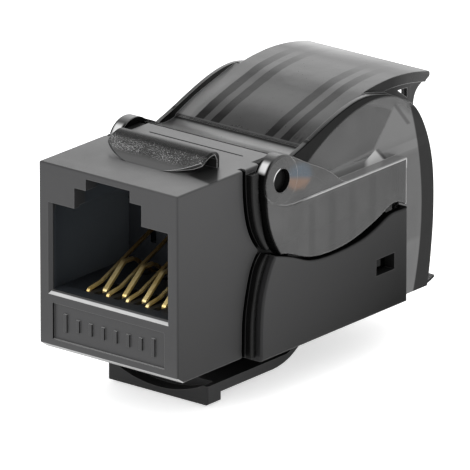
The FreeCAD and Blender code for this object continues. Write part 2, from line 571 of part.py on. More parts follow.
save("front_housing", front_housing())
save("rear_housing", rear_housing())
save("hinged_cap", hinged_cap())
save("contact_carrier", contact_carrier())
for i in range(8):
    save("spring_contact_%d" % (i + 1), contact(i))
save("circuit_board", circuit_board())
save("terminal_block", terminal_block())
n = 0
for side in (-1, 1):
    for y in IDC_Y:
        n += 1
        save("idc_terminal_%d" % n, idc_terminal(side, y))
save("wiring_label_left", wiring_label(-1))
save("wiring_label_right", wiring_label(1))
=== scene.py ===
import math

import bpy
from mathutils import Matrix, Vector


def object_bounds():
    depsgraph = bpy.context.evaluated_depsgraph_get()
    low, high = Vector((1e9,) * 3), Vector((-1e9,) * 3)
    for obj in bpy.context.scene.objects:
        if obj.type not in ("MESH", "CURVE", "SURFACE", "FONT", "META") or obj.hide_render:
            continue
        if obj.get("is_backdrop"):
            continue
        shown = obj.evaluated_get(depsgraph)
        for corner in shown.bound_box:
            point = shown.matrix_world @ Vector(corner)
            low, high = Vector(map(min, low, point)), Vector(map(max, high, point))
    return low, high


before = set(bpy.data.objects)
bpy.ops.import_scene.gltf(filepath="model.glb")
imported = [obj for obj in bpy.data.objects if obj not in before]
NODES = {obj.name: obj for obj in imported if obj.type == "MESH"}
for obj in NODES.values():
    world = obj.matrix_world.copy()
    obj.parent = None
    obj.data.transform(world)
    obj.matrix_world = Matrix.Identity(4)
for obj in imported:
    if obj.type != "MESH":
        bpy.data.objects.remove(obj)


def as_lists(b):
    try:
        return [[float(v) for v in p] for p in b]
    except TypeError:
        return [float(v) for v in b]


CAD_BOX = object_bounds()
MM = 0.001


# ------------------------------------------------------------------ node tools
class Tree:
    """A small wrapper that adds nodes and links to a material's node tree."""

    def __init__(self, name):
        self.mat = bpy.data.materials.new(name)
        self.mat.use_nodes = True
        self.nt = self.mat.node_tree
        self.nt.nodes.clear()
        self.out = self.nt.nodes.new("ShaderNodeOutputMaterial")
        self.bsdf = self.nt.nodes.new("ShaderNodeBsdfPrincipled")
        self.nt.links.new(self.bsdf.outputs[0], self.out.inputs[0])
        tc = self.nt.nodes.new("ShaderNodeTexCoord")
        # object coordinates in millimetres
        sc = self.nt.nodes.new("ShaderNodeVectorMath")
        sc.operation = "SCALE"
        sc.inputs["Scale"].default_value = 1000.0
        self.nt.links.new(tc.outputs["Object"], sc.inputs[0])
        self.pos = sc.outputs[0]
        sep = self.nt.nodes.new("ShaderNodeSeparateXYZ")
        self.nt.links.new(self.pos, sep.inputs[0])
        self.x, self.y, self.z = sep.outputs

    def node(self, kind, **props):
        n = self.nt.nodes.new(kind)
        for k, v in props.items():
            setattr(n, k, v)
        return n

    def put(self, socket, value):
        if isinstance(value, bpy.types.NodeSocket):
            self.nt.links.new(value, socket)
        else:
            socket.default_value = value

    def math(self, op, a, b=0.0, c=0.0, clamp=False):
        n = self.node("ShaderNodeMath", operation=op, use_clamp=clamp)
        self.put(n.inputs[0], a)
        self.put(n.inputs[1], b)
        if op in ("MULTIPLY_ADD", "SMOOTH_MIN", "SMOOTH_MAX", "COMPARE", "WRAP"):
            self.put(n.inputs[2], c)
        return n.outputs[0]

    def noise(self, scale, detail=3.0, rough=0.5, vector=None, distortion=0.0):
        n = self.node("ShaderNodeTexNoise")
        self.nt.links.new(vector or self.pos, n.inputs["Vector"])
        n.inputs["Scale"].default_value = scale
        n.inputs["Detail"].default_value = detail
        n.inputs["Roughness"].default_value = rough
        n.inputs["Distortion"].default_value = distortion
        return n.outputs[0]

    def voronoi(self, scale, feature="F1", vector=None):
        n = self.node("ShaderNodeTexVoronoi", feature=feature)
        self.nt.links.new(vector or self.pos, n.inputs["Vector"])
        n.inputs["Scale"].default_value = scale
        return n.outputs[0]

    def stretch(self, sx, sy, sz):
        n = self.node("ShaderNodeVectorMath", operation="MULTIPLY")
        self.nt.links.new(self.pos, n.inputs[0])
        n.inputs[1].default_value = (sx, sy, sz)
        return n.outputs[0]

    def ramp(self, value, stops):
        """Maps value through linear colour stops [(position, grey or rgb)]."""
        n = self.node("ShaderNodeValToRGB")
        self.nt.links.new(value, n.inputs[0])
        els = n.color_ramp.elements
        while len(els) > 1:
            els.remove(els[-1])
        for i, (p, c) in enumerate(stops):
            if not isinstance(c, (tuple, list)):
                c = (c, c, c)
            e = els[0] if i == 0 else els.new(p)
            e.position = p
            e.color = (*c, 1.0)
        return n.outputs[0]

    def remap(self, value, a, b, c, d, smooth=False):
        """value from a..b to c..d, clamped."""
        n = self.node("ShaderNodeMapRange", interpolation_type="SMOOTHSTEP" if smooth else "LINEAR")
        self.put(n.inputs["Value"], value)
        n.inputs["From Min"].default_value = a
        n.inputs["From Max"].default_value = b
        n.inputs["To Min"].default_value = c
        n.inputs["To Max"].default_value = d
        return n.outputs[0]

    def band(self, value, lo, hi, soft):
        """1 between lo and hi, with soft edges, 0 outside."""
        a = self.remap(value, lo - soft, lo + soft, 0.0, 1.0, True)
        b = self.remap(value, hi - soft, hi + soft, 1.0, 0.0, True)
        return self.math("MULTIPLY", a, b)

    def mix(self, fac, a, b):
        n = self.node("ShaderNodeMix", data_type="RGBA")
        n.clamp_factor = True
        self.put(n.inputs[0], fac)
        ins = [s for s in n.inputs if s.type == "RGBA"]
        for s, v in zip(ins, (a, b)):
            if isinstance(v, (tuple, list)) and len(v) == 3:
                v = (*v, 1.0)
            self.put(s, v)
        return [s for s in n.outputs if s.type == "RGBA"][0]

    def mixf(self, fac, a, b):
        n = self.node("ShaderNodeMix", data_type="FLOAT")
        n.clamp_factor = True
        self.put(n.inputs[0], fac)
        self.put(n.inputs[2], a)
        self.put(n.inputs[3], b)
        return n.outputs[0]

    def bump(self, height, distance, strength=1.0, normal=None):
        n = self.node("ShaderNodeBump")
        n.inputs["Strength"].default_value = strength
        n.inputs["Distance"].default_value = distance
        self.nt.links.new(height, n.inputs["Height"])
        if normal is not None:
            self.nt.links.new(normal, n.inputs["Normal"])
        return n.outputs[0]

    def bevel(self, radius, samples=6):
        n = self.node("ShaderNodeBevel", samples=samples)
        n.inputs["Radius"].default_value = radius
        return n.outputs[0]

    def principled(self, color=None, rough=None, normal=None, **values):
        b = self.bsdf
        if color is not None:
            if isinstance(color, (tuple, list)):
                color = (*color, 1.0)
            self.put(b.inputs["Base Color"], color)
        if rough is not None:
            self.put(b.inputs["Roughness"], rough)
        if normal is not None:
            self.nt.links.new(normal, b.inputs["Normal"])
        for k, v in values.items():
            b.inputs[k.replace("_", " ")].default_value = v
        return self.mat


def sides(t):
    """Components of the surface normal in the object's own axes."""
    tc = t.node("ShaderNodeTexCoord")
    sep = t.node("ShaderNodeSeparateXYZ")
    t.nt.links.new(tc.outputs["Normal"], sep.inputs[0])
    return sep.outputs[0], sep.outputs[1], sep.outputs[2]


def edges(t, radius, lo, hi):
    """A mask that is 1 along the edges of the shape: where the bevelled normal
    leans away from the true one."""
    g = t.node("ShaderNodeNewGeometry")
    d = t.node("ShaderNodeVectorMath", operation="DOT_PRODUCT")
    t.nt.links.new(t.bevel(radius, 8), d.inputs[0])
    t.nt.links.new(g.outputs["Normal"], d.inputs[1])
    return t.remap(d.outputs["Value"], lo, hi, 1.0, 0.0)


def grey(v, blue=1.0):
    return (v, v, v * blue)


# ------------------------------------------------------------------- materials
def moulded(t, base, rough):
    """Colour, roughness and height of a spark-eroded dark moulding, with faint
    flow marks."""
    grain = t.noise(9.0, 4.0, 0.62)
    fine = t.noise(34.0, 2.0, 0.5)
    flow = t.noise(0.22, 3.0, 0.5, vector=t.stretch(0.6, 1.0, 1.6))
    patch = t.noise(0.9, 3.0, 0.55)
    f = t.mixf(0.5, t.remap(flow, 0.35, 0.65, -1.0, 1.0), t.remap(patch, 0.3, 0.7, -1.0, 1.0))
    shade = t.math("MULTIPLY_ADD", f, 0.06, 1.0)
    shade = t.math("MULTIPLY", shade, t.math("MULTIPLY_ADD", t.math("SUBTRACT", grain, 0.5), 0.25, 1.0))
    col = t.mix(t.remap(shade, 0.80, 1.20, 0.0, 1.0), grey(base * 0.78, 1.03), grey(base * 1.22, 1.03))
    r = t.math("MULTIPLY_ADD", t.math("SUBTRACT", grain, 0.5), 0.16, rough)
    r = t.math("MULTIPLY_ADD", f, 0.03, r)
    h = t.math("MULTIPLY_ADD", fine, 0.4, grain)
    return col, r, h, grain


def front_plastic(name):
    """Dark moulding of the front housing: painted shade in the plug port, glossy side bands,
    a groove painted black as shade, painted highlights on the lead-in and chin, and a coarse top catch with painted
    glints."""
    t = Tree(name)
    col, r, h, grain = moulded(t, FRONT_BASE, 0.42)
    ax = t.math("ABSOLUTE", t.x)
    nx, ny, nz = sides(t)
    # painted shade: a little darker toward the foot of the walls and of the front face
    flank = t.remap(t.math("ABSOLUTE", nx), 0.5, 0.9, 0.0, 1.0)
    foot_shade = t.math("MULTIPLY", t.remap(t.z, 7.0, -8.5, 0.35, 0.78), flank)
    col = t.mix(foot_shade, col, grey(0.008))
    face = t.math("MULTIPLY", t.remap(ny, -0.9, -0.5, 1.0, 0.0), t.remap(t.z, -8.0, -6.0, 0.0, 0.22))
    col = t.mix(face, col, grey(0.002))
    deck = t.remap(nz, 0.5, 0.9, 0.0, 1.0)
    # painted shade on the front of the top faces, painted light toward their back and their right side
    col = t.mix(t.math("MULTIPLY", deck, t.remap(t.y, 0.0, 9.0, 0.85, 0.0)), col, grey(0.006))
    col = t.mix(t.math("MULTIPLY", deck, t.remap(t.y, 5.0, 11.0, 0.0, 0.6)), col, grey(0.100))
    col = t.mix(t.math("MULTIPLY", deck, t.remap(t.x, -5.0, 6.0, 0.0, 0.6)), col, grey(0.105))
    # plug port: painted dark bluish shade inside, with painted light deeper in
    high = t.remap(t.z, 3.6, 4.4, 0.0, 0.95)
    port = t.math("MULTIPLY", t.remap(t.math("SUBTRACT", t.y, high), 0.30, 0.50, 0.0, 1.0), t.band(ax, -1.0, 6.45, 0.05))
    port = t.math("MULTIPLY", port, t.band(t.z, -7.3, 7.25, 0.05))
    col = t.mix(port, col, t.mix(t.remap(t.y, 1.5, 9.0, 0.0, 1.0), (0.0270, 0.0310, 0.0360), (0.0780, 0.0880, 0.0980)))
    r = t.mixf(port, r, 0.34)
    # painted highlight on the lead-in along the lower lip of the mouth, and on the bevel under the face
    up = t.remap(nz, 0.25, 0.5, 0.0, 1.0)
    lip = t.math("MULTIPLY", t.math("MULTIPLY", t.band(t.z, -3.45, -3.06, 0.02), up), t.remap(t.y, 0.5, 0.75, 1.0, 0.0))
    down = t.remap(nz, -0.9, -0.75, 0.0, 1.0)
    chin = t.math("MULTIPLY", t.remap(nz, -0.45, -0.6, 0.0, 1.0), down)
    chin = t.math("MULTIPLY", chin, t.math("MULTIPLY", t.remap(t.y, 0.85, 1.0, 1.0, 0.0), t.remap(t.z, -7.4, -7.5, 0.0, 1.0)))
    streak = t.noise(1.2, 3.0, 0.6, vector=t.stretch(0.5, 3.0, 3.0))
    painted_pale = t.mix(streak, grey(0.30), grey(0.55))
    col = t.mix(lip, col, t.mix(streak, grey(0.36), grey(0.56)))
    col = t.mix(chin, col, painted_pale)
    r = t.mixf(lip, r, 0.28)
    # sharp walls of the recessed panel and of the ticks in it: painted light on walls facing up or toward -X, painted
    # shade on walls facing +X
    recess = t.math("MULTIPLY", t.band(t.z, -7.35, -3.6, 0.03), t.band(t.y, 0.02, 0.60, 0.01))
    recess = t.math("MULTIPLY", t.math("MULTIPLY", recess, t.remap(ax, 5.9, 6.0, 1.0, 0.0)), t.remap(ny, -0.6, -0.3, 0.0, 1.0))
    lit = t.math("MULTIPLY", recess, t.remap(t.math("SUBTRACT", nz, nx), 0.3, 0.6, 0.0, 1.0))
    unlit = t.math("MULTIPLY", recess, t.remap(t.math("SUBTRACT", nx, nz), 0.3, 0.6, 0.0, 1.0))
    col = t.mix(lit, col, grey(0.30))
    col = t.mix(unlit, col, grey(0.002))
    # glossy bands, and the groove in front of them painted black as shade
    side = t.math("MULTIPLY", t.band(t.y, 7.9, 11.2, 0.04), t.band(t.z, -9.0, 7.60, 0.03))
    band = t.math("MULTIPLY", side, t.remap(ax, 7.16, 7.18, 0.0, 1.0))
    groove_shade = t.math("MULTIPLY", side, t.band(ax, 6.45, 7.12, 0.02))
    col = t.mix(groove_shade, col, grey(0.0015))
    r = t.mixf(groove_shade, r, 0.7)
    col = t.mix(band, col, grey(0.004))
    r = t.mixf(band, r, t.remap(grain, 0.3, 0.7, 0.18, 0.30))
    # top catch, its grit with painted glints
    catch = t.math("MULTIPLY", t.band(t.z, 7.83, 12.0, 0.02), t.band(t.y, 3.9, 8.2, 0.05))
    grit_and_glints = t.math("MULTIPLY", catch, t.math("MULTIPLY", t.band(t.y, 5.0, 6.9, 0.25), t.remap(nz, 0.1, 0.4, 0.0, 1.0)))
    sand = t.noise(11.0, 5.0, 0.72)
    col = t.mix(catch, col, grey(0.022))
    drift = t.math("MULTIPLY_ADD", t.noise(0.7, 2.0, 0.5), 0.16, t.remap(t.x, -4.5, 4.5, -0.10, -0.07))
    drift = t.math("ADD", drift, t.remap(t.y, 5.9, 6.6, 0.0, 0.12))
    glint_speck = t.remap(t.math("SUBTRACT", sand, drift), 0.53, 0.63, 0.0, 1.0)
    # painted glints: bright flecks on the grit, fewer toward the crest, over a ground that is lighter toward the left
    # end
    col = t.mix(grit_and_glints, col, t.mix(glint_speck, t.mix(t.remap(t.x, -4.6, -1.5, 0.0, 1.0), grey(0.016), grey(0.002)), grey(0.30)))
    strip = t.math("MULTIPLY", catch, t.remap(t.y, 4.7, 5.2, 1.0, 0.0))
    col = t.mix(t.math("MULTIPLY", strip, t.remap(nz, 0.1, 0.4, 0.0, 1.0)), col, grey(0.060))
    col = t.mix(t.math("MULTIPLY", catch, t.band(t.y, 6.3, 6.9, 0.25)), col, grey(0.006))
    # painted deep shade under the open end of the catch: the shadow it casts onto the deck
    catch_shadow = t.math("MULTIPLY", t.remap(t.math("MULTIPLY_ADD", t.x, 0.236, t.y), 5.55, 5.95, 0.0, 1.0, True), t.remap(t.math("MULTIPLY_ADD", t.y, 0.812, t.x), 11.40, 11.20, 0.0, 1.0))
    catch_shadow = t.math("MULTIPLY", t.math("MULTIPLY", catch_shadow, deck), t.math("MULTIPLY", t.band(t.z, 7.60, 7.80, 0.02), t.remap(t.x, 3.4, 4.6, 0.0, 0.85)))
    catch_shadow = t.math("MULTIPLY", catch_shadow, t.remap(t.y, 8.0, 8.3, 1.0, 0.0))
    col = t.mix(catch_shadow, col, grey(0.002))
    # painted highlight along the crest of the catch
    crest_highlight = t.math("MULTIPLY", catch, t.band(t.y, 6.95, 7.35, 0.12))
    col = t.mix(t.math("MULTIPLY", crest_highlight, 0.25), col, grey(0.14))
    brow = t.math("MULTIPLY", catch, t.band(t.y, 6.1, 8.2, 0.2))
    r = t.mixf(grit_and_glints, r, 0.42)
    h = t.math("MULTIPLY_ADD", t.math("MULTIPLY", grit_and_glints, sand), 12.0, h)
    # painted highlight along the edges, weaker in the port, side bands and groove
    e = edges(t, 0.07 * MM, 0.90, 0.998)
    quiet = t.math("MAXIMUM", port, t.math("MAXIMUM", band, groove_shade))
    col = t.mix(t.math("MULTIPLY", e, t.math("SUBTRACT", 0.30, t.math("MULTIPLY", quiet, 0.25))), col, grey(0.22))
    # brighter painted highlight on the catch's edges toward its right end
    tip_highlight = t.math("MULTIPLY", t.math("MULTIPLY", e, catch), t.remap(t.x, 1.0, 3.0, 0.0, 0.9))
    col = t.mix(tip_highlight, col, grey(0.65))
    n = t.bump(h, 0.010 * MM, 0.55, normal=t.bevel(0.05 * MM))
    spec = t.mixf(t.math("MAXIMUM", groove_shade, t.math("MULTIPLY", port, 0.4)), SPEC, 0.02)
    spec = t.mixf(band, spec, 0.08)
    spec = t.mixf(t.math("MULTIPLY", grit_and_glints, glint_speck), spec, 0.6)
    spec = t.mixf(foot_shade, spec, 0.16)
    spec = t.mixf(t.math("MAXIMUM", catch_shadow, t.math("MULTIPLY", brow, 0.8)), spec, 0.03)
    t.put(t.bsdf.inputs["Specular IOR Level"], spec)
    return t.principled(col, r, n)


def rear_plastic(name):
    """Same moulding compound, with painted shade darkening the wall toward the back and the bottom."""
    t = Tree(name)
    col, r, h, grain = moulded(t, REAR_BASE, 0.42)
    ax = t.math("ABSOLUTE", t.x)
    fall_shade = t.math("MULTIPLY", t.remap(t.y, 10.0, 27.0, 0.55, 1.0), t.remap(t.z, 0.0, -8.0, 0.66, 1.0))
    col = t.mix(fall_shade, col, grey(0.004))
    nx, ny, nz = sides(t)
    rim = t.math("MULTIPLY", t.remap(nz, 0.5, 0.8, 0.0, 1.0), t.remap(t.z, -3.0, -2.6, 0.0, 1.0))
    col = t.mix(rim, col, grey(0.0015))
    inner = t.math("MULTIPLY", t.band(ax, -1.0, 7.20, 0.03), t.remap(t.z, -8.40, -8.30, 0.0, 1.0))
    col = t.mix(inner, col, grey(0.006))
    pin = t.math("MULTIPLY", t.math("GREATER_THAN", ax, 6.95), t.math("GREATER_THAN", t.z, 4.0))
    col = t.mix(pin, col, grey(0.004))
    r = t.mixf(pin, r, 0.30)
    # painted highlight along the edges, left off the dark rim faces
    e = edges(t, 0.08 * MM, 0.90, 0.998)
    col = t.mix(t.math("MULTIPLY", t.math("MULTIPLY", e, t.math("SUBTRACT", 1.0, rim)), 0.25), col, grey(0.20))
    n = t.bump(h, 0.010 * MM, 0.55, normal=t.bevel(0.05 * MM))
    dark = t.math("MAXIMUM", t.math("MAXIMUM", rim, pin), t.math("MULTIPLY", fall_shade, 0.9))
    t.put(t.bsdf.inputs["Specular IOR Level"], t.mixf(dark, SPEC, 0.03))
    return t.principled(col, r, n)


def insert_plastic(name, base):
    t = Tree(name)
    grain = t.noise(7.0, 3.0, 0.6)
    patch = t.noise(0.7, 3.0, 0.5)
    k = t.math("ADD", t.math("MULTIPLY", grain, 0.5), t.math("MULTIPLY", patch, 0.5))
    col = t.mix(t.remap(k, 0.35, 0.65, 0.0, 1.0), tuple(c * 0.82 for c in base), tuple(c * 1.22 for c in base))
    r = t.remap(grain, 0.3, 0.7, 0.36, 0.50)
    n = t.bump(grain, 0.010 * MM, 0.5, normal=t.bevel(0.04 * MM))
    return t.principled(col, r, n, Specular_IOR_Level=0.5)


def gilt(name):
    """Gold-plated spring wire with drawing lines along the wire, painted darker toward the back as shade, with a
    painted glow at the front ends.
    """
    t = Tree(name)
    lines = t.noise(14.0, 2.0, 0.5, vector=t.stretch(1.0, 0.03, 0.03))
    spots = t.noise(0.8, 3.0, 0.5)
    col = t.mix(t.remap(spots, 0.3, 0.7, 0.0, 1.0), (0.95, 0.70, 0.26), (1.0, 0.86, 0.46))
    r = t.math("MULTIPLY_ADD", lines, 0.12, t.remap(spots, 0.3, 0.7, 0.26, 0.38))
    n = t.bump(lines, 0.002 * MM, 0.5, normal=t.bevel(0.035 * MM))
    # painted shade on the wire deeper in the port, and a painted glow (emission) on its front ends
    back = t.math("MULTIPLY_ADD", lines, 1.4, t.y)
    col = t.mix(t.remap(back, 3.6, 7.5, 0.0, 0.9), col, (0.20, 0.105, 0.030))
    t.put(t.bsdf.inputs["Emission Strength"], t.remap(back, 1.8, 5.2, 0.10, 0.0))
    return t.principled(col, r, n, Metallic=0.90, Emission_Color=(1.0, 0.66, 0.20, 1.0))


def tinned(name):
    t = Tree(name)
    lines = t.noise(14.0, 3.0, 0.6, vector=t.stretch(1.0, 0.12, 1.0))
    blot = t.noise(1.3, 3.0, 0.6)
    col = t.mix(t.remap(blot, 0.3, 0.7, 0.0, 1.0), (0.60, 0.60, 0.58), (0.80, 0.80, 0.78))
    r = t.math("MULTIPLY_ADD", lines, 0.16, t.remap(blot, 0.3, 0.7, 0.24, 0.36))
    n = t.bump(lines, 0.004 * MM, 0.6, normal=t.bevel(0.03 * MM))
    return t.principled(col, r, n, Metallic=1.0)


def board(name):
    """Green solder mask over copper tracks, bare glass-fibre edges."""
    t = Tree(name)
    weave = t.math("MULTIPLY", t.math("SINE", t.math("MULTIPLY", t.x, 9.0)), t.math("SINE", t.math("MULTIPLY", t.y, 9.0)))
    wob = t.noise(0.8, 2.0, 0.5)
    track = t.math("SINE", t.math("MULTIPLY_ADD", wob, 5.0, t.math("MULTIPLY", t.x, 6.1)))
    on = t.remap(track, 0.35, 0.55, 0.0, 1.0, True)
    spot = t.noise(3.0, 3.0, 0.5)
    mask = t.mix(on, (0.010, 0.075, 0.030), (0.018, 0.135, 0.052))
    mask = t.mix(t.remap(spot, 0.35, 0.65, 0.0, 0.25), mask, (0.02, 0.10, 0.05))
    geo = t.node("ShaderNodeNewGeometry")
    sep = t.node("ShaderNodeSeparateXYZ")
    t.nt.links.new(geo.outputs["Normal"], sep.inputs[0])
    edge = t.remap(t.math("ABSOLUTE", sep.outputs[2]), 0.4, 0.6, 1.0, 0.0)
    col = t.mix(edge, mask, (0.30, 0.33, 0.17))
    r = t.math("MULTIPLY_ADD", spot, 0.15, 0.22)
    h = t.math("MULTIPLY_ADD", weave, 0.12, on)
    n = t.bump(h, 0.02 * MM, 0.6)
    return t.principled(col, r, n, Specular_IOR_Level=0.5)


def label(name):
    """Two fields of colour, blue over orange, divided by a pale line."""
    t = Tree(name)
    paper = t.noise(5.0, 4.0, 0.6)
    z = t.math("MULTIPLY_ADD", t.math("SUBTRACT", paper, 0.5), 0.10, t.z)
    top = t.remap(z, 4.28, 4.36, 0.0, 1.0, True)
    blue = t.mix(t.remap(paper, 0.3, 0.7, 0.0, 1.0), (0.10, 0.26, 0.46), (0.16, 0.36, 0.60))
    orange = t.mix(t.remap(paper, 0.3, 0.7, 0.0, 1.0), (0.62, 0.24, 0.07), (0.78, 0.34, 0.11))
    col = t.mix(top, orange, blue)
    line = t.band(z, 4.26, 4.34, 0.03)
    col = t.mix(line, col, (0.6, 0.6, 0.58))
    n = t.bump(paper, 0.006 * MM, 0.5)
    return t.principled(col, t.remap(paper, 0.3, 0.7, 0.42, 0.6), n)


def smoked(name):
    """Smoked transparent plastic. The roof is darker along its ribs, the edges carry a painted highlight, light and
    shade are painted over the roof, walls and eyes, and the colour label shows softly through the wall by the eye."""
    t = Tree(name)
    grain = t.noise(6.0, 3.0, 0.55)
    cloud = t.noise(0.30, 3.0, 0.5)
    ax = t.math("ABSOLUTE", t.x)
    nx, ny, nz = sides(t)
    anx = t.math("ABSOLUTE", nx)
    col = t.mix(t.remap(cloud, 0.35, 0.65, 0.0, 1.0), grey(CAP_BASE * 0.85), grey(CAP_BASE * 1.15))
    # dished front strip, then the roof: painted shade at the front, painted light toward the back, ribs
    top = t.math("MULTIPLY", t.remap(nz, 0.2, 0.4, 0.0, 1.0), t.remap(t.z, 5.6, 6.2, 0.0, 1.0))
    roof = t.math("MULTIPLY", top, t.remap(t.y, 16.85, 17.0, 0.0, 1.0))
    shade = t.math("MULTIPLY", t.remap(t.y, 17.6, 20.3, 0.50, 0.0), t.remap(t.x, -5.2, -4.7, 0.0, 1.0))
    col = t.mix(t.math("MULTIPLY", roof, shade), col, grey(0.012))
    # painted light across the middle of the roof
    roof_light = t.math("MULTIPLY", roof, t.band(t.y, 20.0, 23.0, 1.4))
    col = t.mix(t.math("MULTIPLY", roof_light, 0.6), col, grey(0.110))
    # painted shade on the back part of the roof
    col = t.mix(t.math("MULTIPLY", roof, t.band(t.y, 25.8, 30.5, 1.2)), col, grey(0.011))
    # painted light on the left margin of the roof, fading toward the back
    margin_light = t.math("MULTIPLY", t.math("MULTIPLY", roof, t.band(t.x, -6.65, -4.85, 0.1)), t.remap(t.y, 21.5, 26.0, 0.55, 0.0))
    col = t.mix(margin_light, col, grey(0.19))
    # painted reflection along the rear edge of the roof, strongest on the left
    rear_highlight = t.math("MULTIPLY", t.remap(t.y, 29.5, 32.8, 0.0, 1.0), t.remap(t.x, -7.0, 3.0, 0.9, 0.05))
    col = t.mix(t.math("MULTIPLY", roof, rear_highlight), col, grey(0.40))
    seam = t.math("MULTIPLY", top, t.band(t.y, 16.45, 16.85, 0.08))
    col = t.mix(t.math("MULTIPLY", seam, 0.8), col, grey(0.006))
    # painted highlight on the dished strip, brightest across its middle
    dish = t.math("MULTIPLY", top, t.remap(t.y, 16.3, 16.1, 0.0, 1.0))
    dish_highlight = t.math("MULTIPLY", t.band(t.y, 13.3, 15.2, 0.5), t.band(t.x, -6.5, 4.0, 2.0))
    col = t.mix(t.math("MULTIPLY", dish, t.math("MULTIPLY_ADD", dish_highlight, 0.5, 0.08)), col, grey(0.17))
    wob = t.math("MULTIPLY_ADD", t.math("SUBTRACT", t.noise(0.8, 2.0, 0.5), 0.5), 0.14, ax)
    rib = t.math("ADD", t.band(wob, 2.35, 3.25, 0.05), t.band(wob, 3.95, 4.85, 0.05))
    rib = t.math("MULTIPLY", t.math("MULTIPLY", rib, roof), t.math("MULTIPLY", t.remap(t.y, 17.8, 19.5, 1.0, 0.72), t.remap(t.y, 27.5, 31.5, 1.0, 0.15)))
    # painted shade in streaks on the right front of the roof
    brush = t.noise(2.2, 2.0, 0.6, vector=t.stretch(1.0, 0.06, 1.0))
    streak = t.math("MULTIPLY", t.band(ax, 4.75, 6.35, 0.15), t.remap(brush, 0.35, 0.60, 0.45, 1.0))
    streak = t.math("MULTIPLY", t.math("MULTIPLY", streak, roof), t.math("MULTIPLY", t.remap(t.y, 17.4, 20.2, 0.85, 0.0), t.remap(t.x, 0.0, 1.0, 0.0, 1.0)))
    col = t.mix(streak, col, grey(0.004))
    col = t.mix(rib, col, grey(0.002))
    # painted shade on the side faces of the roof, dark front of the ears, a painted glint on the barrel
    side = t.remap(anx, 0.5, 0.8, 0.0, 1.0)
    arch = t.math("MULTIPLY", side, t.band(ax, 6.95, 7.18, 0.02))
    # height of the side wall's outline at y, and how far below it a point lies
    yc = t.math("SUBTRACT", t.y, 24.1)
    yy = t.math("MULTIPLY", yc, yc)
    crown = t.math("MULTIPLY_ADD", yy, t.mixf(t.remap(t.y, 23.6, 24.6, 0.0, 1.0), -0.0360, -0.0555), 9.86)
    depth = t.math("SUBTRACT", crown, t.z)
    deep = t.math("ADD", depth, t.math("MULTIPLY", t.math("SUBTRACT", t.y, 17.5), 0.126))
    band = t.math("MULTIPLY", arch, t.remap(deep, 1.32, 1.62, 1.0, 0.0, True))
    band = t.math("MULTIPLY", band, t.remap(t.y, 27.0, 30.5, 1.0, 0.0))
    lipside = t.math("MULTIPLY", side, t.band(ax, 6.20, 6.34, 0.02))
    lipside = t.math("MULTIPLY", lipside, t.remap(t.y, 28.6, 32.5, 0.9, 0.40))
    inner_rim = t.math("MULTIPLY", side, t.band(ax, 6.64, 6.76, 0.02))
    # painted shade under the roof's edge, on the lip's sides and on the inner rim
    under_shade = t.math("MAXIMUM", t.math("MAXIMUM", band, lipside), t.math("MULTIPLY", inner_rim, t.remap(t.y, 15.0, 24.0, 1.0, 0.3)))
    col = t.mix(t.math("MULTIPLY", under_shade, 0.97), col, grey(0.001))
    gap = t.math("MULTIPLY", t.remap(ny, -0.3, -0.6, 0.0, 1.0), t.remap(t.y, 14.0, 13.0, 0.0, 1.0))
    nose = t.math("MULTIPLY", gap, t.remap(ax, 6.8, 6.9, 0.0, 1.0))
    col = t.mix(nose, col, grey(0.003))
    glint = t.math("MULTIPLY", t.math("MULTIPLY", nose, t.band(t.z, 7.2, 7.95, 0.18)), t.band(wob, 7.25, 7.95, 0.10))
    col = t.mix(glint, col, grey(0.62))
    hy = t.math("SUBTRACT", t.y, 11.94)
    hz = t.math("SUBTRACT", t.z, 6.19)
    rad = t.math("SQRT", t.math("MULTIPLY_ADD", hy, hy, t.math("MULTIPLY", hz, hz)))
    # painted shade inside the eye's hole
    bore_shade = t.math("MULTIPLY", t.remap(rad, 1.04, 1.08, 1.0, 0.0), t.remap(ax, 6.9, 7.0, 0.0, 1.0))
    col = t.mix(bore_shade, col, grey(0.004))
    # a crescent of light on the rim of the eye's hole
    lean = t.math("SUBTRACT", hz, hy)
    rimlight = t.math("MULTIPLY", t.band(rad, 1.0, 1.10, 0.03), t.math("MULTIPLY", t.remap(lean, 1.15, 1.40, 0.0, 1.0), t.remap(ax, 7.95, 8.05, 0.0, 1.0)))
    col = t.mix(rimlight, col, grey(0.75))
    tail = t.math("MULTIPLY", t.remap(anx, 0.5, 0.8, 0.0, 1.0), t.math("MULTIPLY", t.band(ax, 5.58, 6.27, 0.02), t.remap(t.y, 30.9, 31.1, 0.0, 1.0)))
    tail = t.math("MULTIPLY", tail, t.band(t.z, 7.4, 8.9, 0.15))
    col = t.mix(tail, col, grey(0.045))
    # painted light: the upper wall is paler toward the back, where the skirt's rim lies behind it
    slant = t.math("SUBTRACT", t.math("MULTIPLY_ADD", t.y, 0.752, t.math("MULTIPLY", t.z, -0.658)), 15.63)
    painted_pale = t.math("MULTIPLY", t.math("MULTIPLY", arch, t.remap(slant, -0.25, 0.12, 0.0, 1.0, True)), t.remap(depth, 0.6, 1.3, 0.0, 1.0))
    painted_pale = t.math("MULTIPLY", painted_pale, t.remap(t.z, 4.6, 5.2, 0.75, 1.0))
    col = t.mix(t.math("MULTIPLY", painted_pale, 0.60), col, grey(0.135))
    # painted highlight along the edge of the ledge
    sill = t.math("SUBTRACT", t.math("MULTIPLY_ADD", t.y, 0.0625, 3.44), t.z)
    sill = t.math("MULTIPLY", t.remap(t.math("ABSOLUTE", sill), 0.06, 0.24, 1.0, 0.0, True), t.band(t.y, 18.0, 25.3, 0.8))
    col = t.mix(t.math("MULTIPLY", t.math("MULTIPLY", sill, arch), 0.35), col, grey(0.17))
